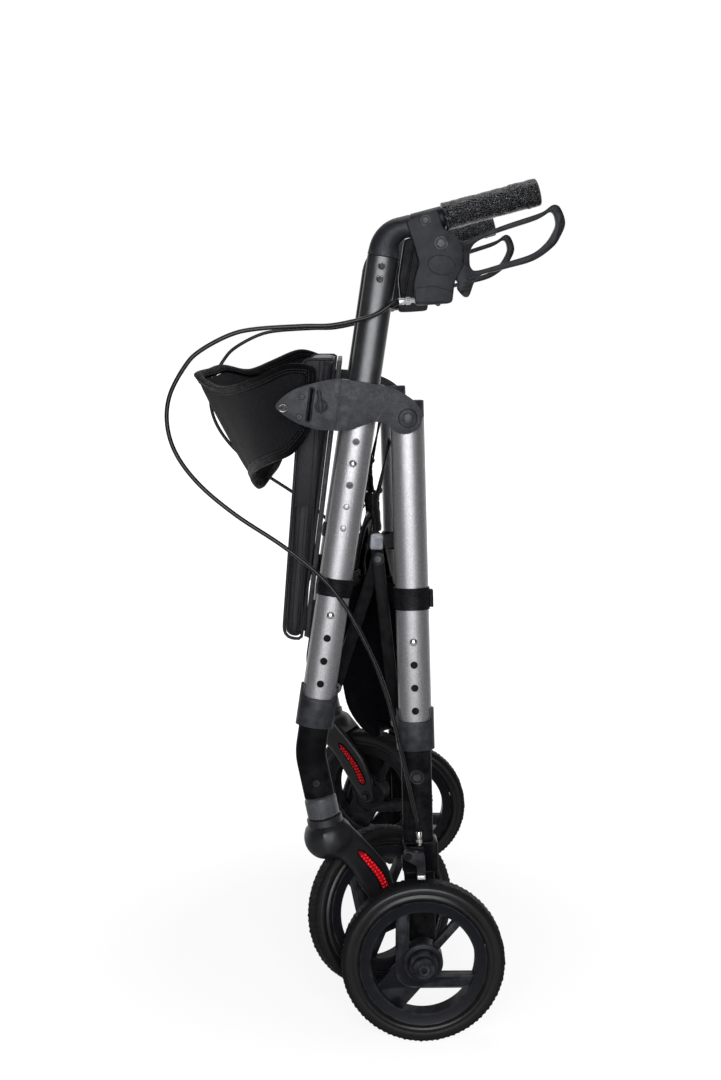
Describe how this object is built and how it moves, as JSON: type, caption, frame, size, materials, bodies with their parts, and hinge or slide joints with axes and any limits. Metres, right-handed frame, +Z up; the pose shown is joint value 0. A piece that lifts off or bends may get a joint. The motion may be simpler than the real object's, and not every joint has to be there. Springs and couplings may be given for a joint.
{
  "type": "four-wheel rollator",
  "caption": "Folding walker with swivel front wheels, seat, bag, padded backrest and hand brakes, standing folded front to back",
  "frame": {"origin": "on the floor under the middle of the folded rollator's bounding box", "axes": "+Z up; +X to the rear, where the user walks and the grips point; -Y is the user's left side"},
  "size_m": [0.4494, 0.6446, 0.989],
  "materials": {
    "pewter": "metallic pewter coating",
    "black_metal": "satin black coating",
    "grey_rod": "grey coating",
    "plastic": "fine-grained charcoal",
    "rubber": "black tread",
    "grip": "glossy grip",
    "steel": "bright",
    "leatherette": "black leatherette",
    "nylon": "woven nylon",
    "neoprene": "charcoal neoprene",
    "cable": "cable cover"
  },
  "bodies": {
    "front_frame": {"backrest_pad": "neoprene", "bracket_l": "plastic", "bracket_r": "plastic", "brake_cable_l": "cable", "brake_cable_r": "cable", "front_collar_l": "plastic", "front_collar_r": "plastic", "front_crossbar": "black_metal", "front_tube_l": "pewter", "front_tube_r": "pewter", "pivot_bolt_l": "steel", "pivot_bolt_r": "steel", "seat_rod": "black_metal", "storage_bag": "nylon"},
    "rear_frame": {"rear_collar_l": "plastic", "rear_collar_r": "plastic", "rear_crossbar": "black_metal", "rear_tube_l": "pewter", "rear_tube_r": "pewter", "tube_cap_l": "plastic", "tube_cap_r": "plastic"},
    "seat": {"seat_board": "plastic", "seat_cushion": "leatherette"},
    "brace_front": {"brace_links_front": "grey_rod"},
    "brace_rear": {"brace_link_rear_l": "black_metal", "brace_link_rear_r": "black_metal"},
    "handle_l": {"brake_body_l": "plastic", "grip_l": "grip", "handle_elbow_l": "plastic", "handle_tube_l": "black_metal"},
    "handle_r": {"brake_body_r": "plastic", "grip_r": "grip", "handle_elbow_r": "plastic", "handle_tube_r": "black_metal"},
    "brake_lever_l": {"brake_lever_l": "plastic"},
    "brake_lever_r": {"brake_lever_r": "plastic"},
    "handle_button_l": {"handle_button_l": "steel"},
    "handle_button_r": {"handle_button_r": "steel"},
    "front_leg_l": {"front_leg_l": "black_metal"},
    "front_leg_r": {"front_leg_r": "black_metal"},
    "front_button_l": {"front_leg_button_l": "steel"},
    "front_button_r": {"front_leg_button_r": "steel"},
    "caster_l": {"caster_fork_l": "plastic"},
    "caster_r": {"caster_fork_r": "plastic"},
    "front_wheel_l": {"front_rim_l": "plastic", "front_tyre_l": "rubber"},
    "front_wheel_r": {"front_rim_r": "plastic", "front_tyre_r": "rubber"},
    "rear_leg_l": {"brake_housing_l": "plastic", "rear_leg_l": "black_metal"},
    "rear_leg_r": {"brake_housing_r": "plastic", "rear_leg_r": "black_metal"},
    "rear_button_l": {"rear_leg_button_l": "steel"},
    "rear_button_r": {"rear_leg_button_r": "steel"},
    "rear_wheel_l": {"rear_rim_l": "plastic", "rear_tyre_l": "rubber"},
    "rear_wheel_r": {"rear_rim_r": "plastic", "rear_tyre_r": "rubber"},
    "brake_shoe_l": {"brake_shoe_l": "steel"},
    "brake_shoe_r": {"brake_shoe_r": "steel"}
  },
  "joints": [
    {"name": "fold", "type": "hinge", "parent": "front_frame", "child": "rear_frame", "pos_m": [0.05067, 0, 0.72003], "axis": [0, -1, 0], "range_deg": [0, 36], "deforming": ["storage_bag", "brake_cable_l", "brake_cable_r"]},
    {"name": "seat_hinge", "type": "hinge", "parent": "front_frame", "child": "seat", "pos_m": [-0.03837, 0, 0.48503], "axis": [0, 1, 0], "range_deg": [0, 70.8]},
    {"name": "brace_front_pivot", "type": "hinge", "parent": "front_frame", "child": "brace_front", "pos_m": [-0.03147, 0, 0.39997], "axis": [0, 1, 0], "range_deg": [0, 25.3]},
    {"name": "brace_rear_pivot", "type": "hinge", "parent": "rear_frame", "child": "brace_rear", "pos_m": [0.03963, 0, 0.35999], "axis": [0, -1, 0], "range_deg": [0, 18.1]},
    {"name": "handle_height_l", "type": "slide", "parent": "front_frame", "child": "handle_l", "axis": [0.1454, 0, 0.9894], "range_m": [-0.025, 0.025], "deforming": ["brake_cable_l", "handle_button_l"]},
    {"name": "brake_lever_l", "type": "hinge", "parent": "handle_l", "child": "brake_lever_l", "pos_m": [0.08729, -0.2515, 0.91576], "axis": [0, -1, 0], "range_deg": [-20, 2.5]},
    {"name": "handle_button_l", "type": "slide", "parent": "handle_l", "child": "handle_button_l", "axis": [0, 1, 0], "range_m": [0, 0.004], "stiffness_N_per_m": 800},
    {"name": "front_leg_height_l", "type": "slide", "parent": "front_frame", "child": "front_leg_l", "axis": [-0.1454, 0, -0.9894], "range_m": [0, 0.081], "deforming": ["front_leg_button_l"]},
    {"name": "front_leg_button_l", "type": "slide", "parent": "front_leg_l", "child": "front_button_l", "axis": [0, 1, 0], "range_m": [0, 0.004], "stiffness_N_per_m": 800},
    {"name": "caster_swivel_l", "type": "hinge", "parent": "front_leg_l", "child": "caster_l", "pos_m": [-0.04538, -0.2515, 0.2545], "axis": [-0.2079, 0, 0.9781], "range_deg": [-5, 4]},
    {"name": "front_wheel_spin_l", "type": "hinge", "parent": "caster_l", "child": "front_wheel_l", "pos_m": [0.02231, -0.2275, 0.13598], "axis": [-0.4891, 0.866, -0.104], "continuous": true},
    {"name": "rear_leg_height_l", "type": "slide", "parent": "rear_frame", "child": "rear_leg_l", "axis": [0.0293, 0, -0.9996], "range_m": [0, 0.081], "deforming": ["brake_cable_l", "rear_leg_button_l"]},
    {"name": "rear_leg_button_l", "type": "slide", "parent": "rear_leg_l", "child": "rear_button_l", "axis": [0, 1, 0], "range_m": [0, 0.004], "stiffness_N_per_m": 800},
    {"name": "rear_wheel_spin_l", "type": "hinge", "parent": "rear_leg_l", "child": "rear_wheel_l", "pos_m": [0.069, -0.29, 0.095], "axis": [0, 1, 0], "continuous": true},
    {"name": "brake_shoe_pivot_l", "type": "hinge", "parent": "rear_leg_l", "child": "brake_shoe_l", "pos_m": [0.05133, -0.29, 0.21984], "axis": [0, 1, 0], "range_deg": [0, 5], "stiffness_Nm_per_rad": 0.6},
    {"name": "handle_height_r", "type": "slide", "parent": "front_frame", "child": "handle_r", "axis": [0.1454, 0, 0.9894], "range_m": [-0.025, 0.025], "deforming": ["brake_cable_r", "handle_button_r"]},
    {"name": "brake_lever_r", "type": "hinge", "parent": "handle_r", "child": "brake_lever_r", "pos_m": [0.08729, 0.2515, 0.91576], "axis": [0, -1, 0], "range_deg": [-20, 2.5]},
    {"name": "handle_button_r", "type": "slide", "parent": "handle_r", "child": "handle_button_r", "axis": [0, -1, 0], "range_m": [0, 0.004], "stiffness_N_per_m": 800},
    {"name": "front_leg_height_r", "type": "slide", "parent": "front_frame", "child": "front_leg_r", "axis": [-0.1454, 0, -0.9894], "range_m": [0, 0.081], "deforming": ["front_leg_button_r"]},
    {"name": "front_leg_button_r", "type": "slide", "parent": "front_leg_r", "child": "front_button_r", "axis": [0, -1, 0], "range_m": [0, 0.004], "stiffness_N_per_m": 800},
    {"name": "caster_swivel_r", "type": "hinge", "parent": "front_leg_r", "child": "caster_r", "pos_m": [-0.04538, 0.2515, 0.2545], "axis": [0.2079, 0, -0.9781], "range_deg": [-5, 4]},
    {"name": "front_wheel_spin_r", "type": "hinge", "parent": "caster_r", "child": "front_wheel_r", "pos_m": [0.02231, 0.2275, 0.13598], "axis": [-0.4891, -0.866, -0.104], "continuous": true},
    {"name": "rear_leg_height_r", "type": "slide", "parent": "rear_frame", "child": "rear_leg_r", "axis": [0.0293, 0, -0.9996], "range_m": [0, 0.081], "deforming": ["brake_cable_r", "rear_leg_button_r"]},
    {"name": "rear_leg_button_r", "type": "slide", "parent": "rear_leg_r", "child": "rear_button_r", "axis": [0, -1, 0], "range_m": [0, 0.004], "stiffness_N_per_m": 800},
    {"name": "rear_wheel_spin_r", "type": "hinge", "parent": "rear_leg_r", "child": "rear_wheel_r", "pos_m": [0.069, 0.29, 0.095], "axis": [0, 1, 0], "continuous": true},
    {"name": "brake_shoe_pivot_r", "type": "hinge", "parent": "rear_leg_r", "child": "brake_shoe_r", "pos_m": [0.05133, 0.29, 0.21984], "axis": [0, 1, 0], "range_deg": [0, 5], "stiffness_Nm_per_rad": 0.6}
  ],
  "couplings": [
    {"joint": "seat_hinge", "follows": "fold", "ratio": 1.9639},
    {"joint": "brace_front_pivot", "follows": "fold", "ratio": 0.7},
    {"joint": "brace_rear_pivot", "follows": "fold", "ratio": 0.5}
  ]
}
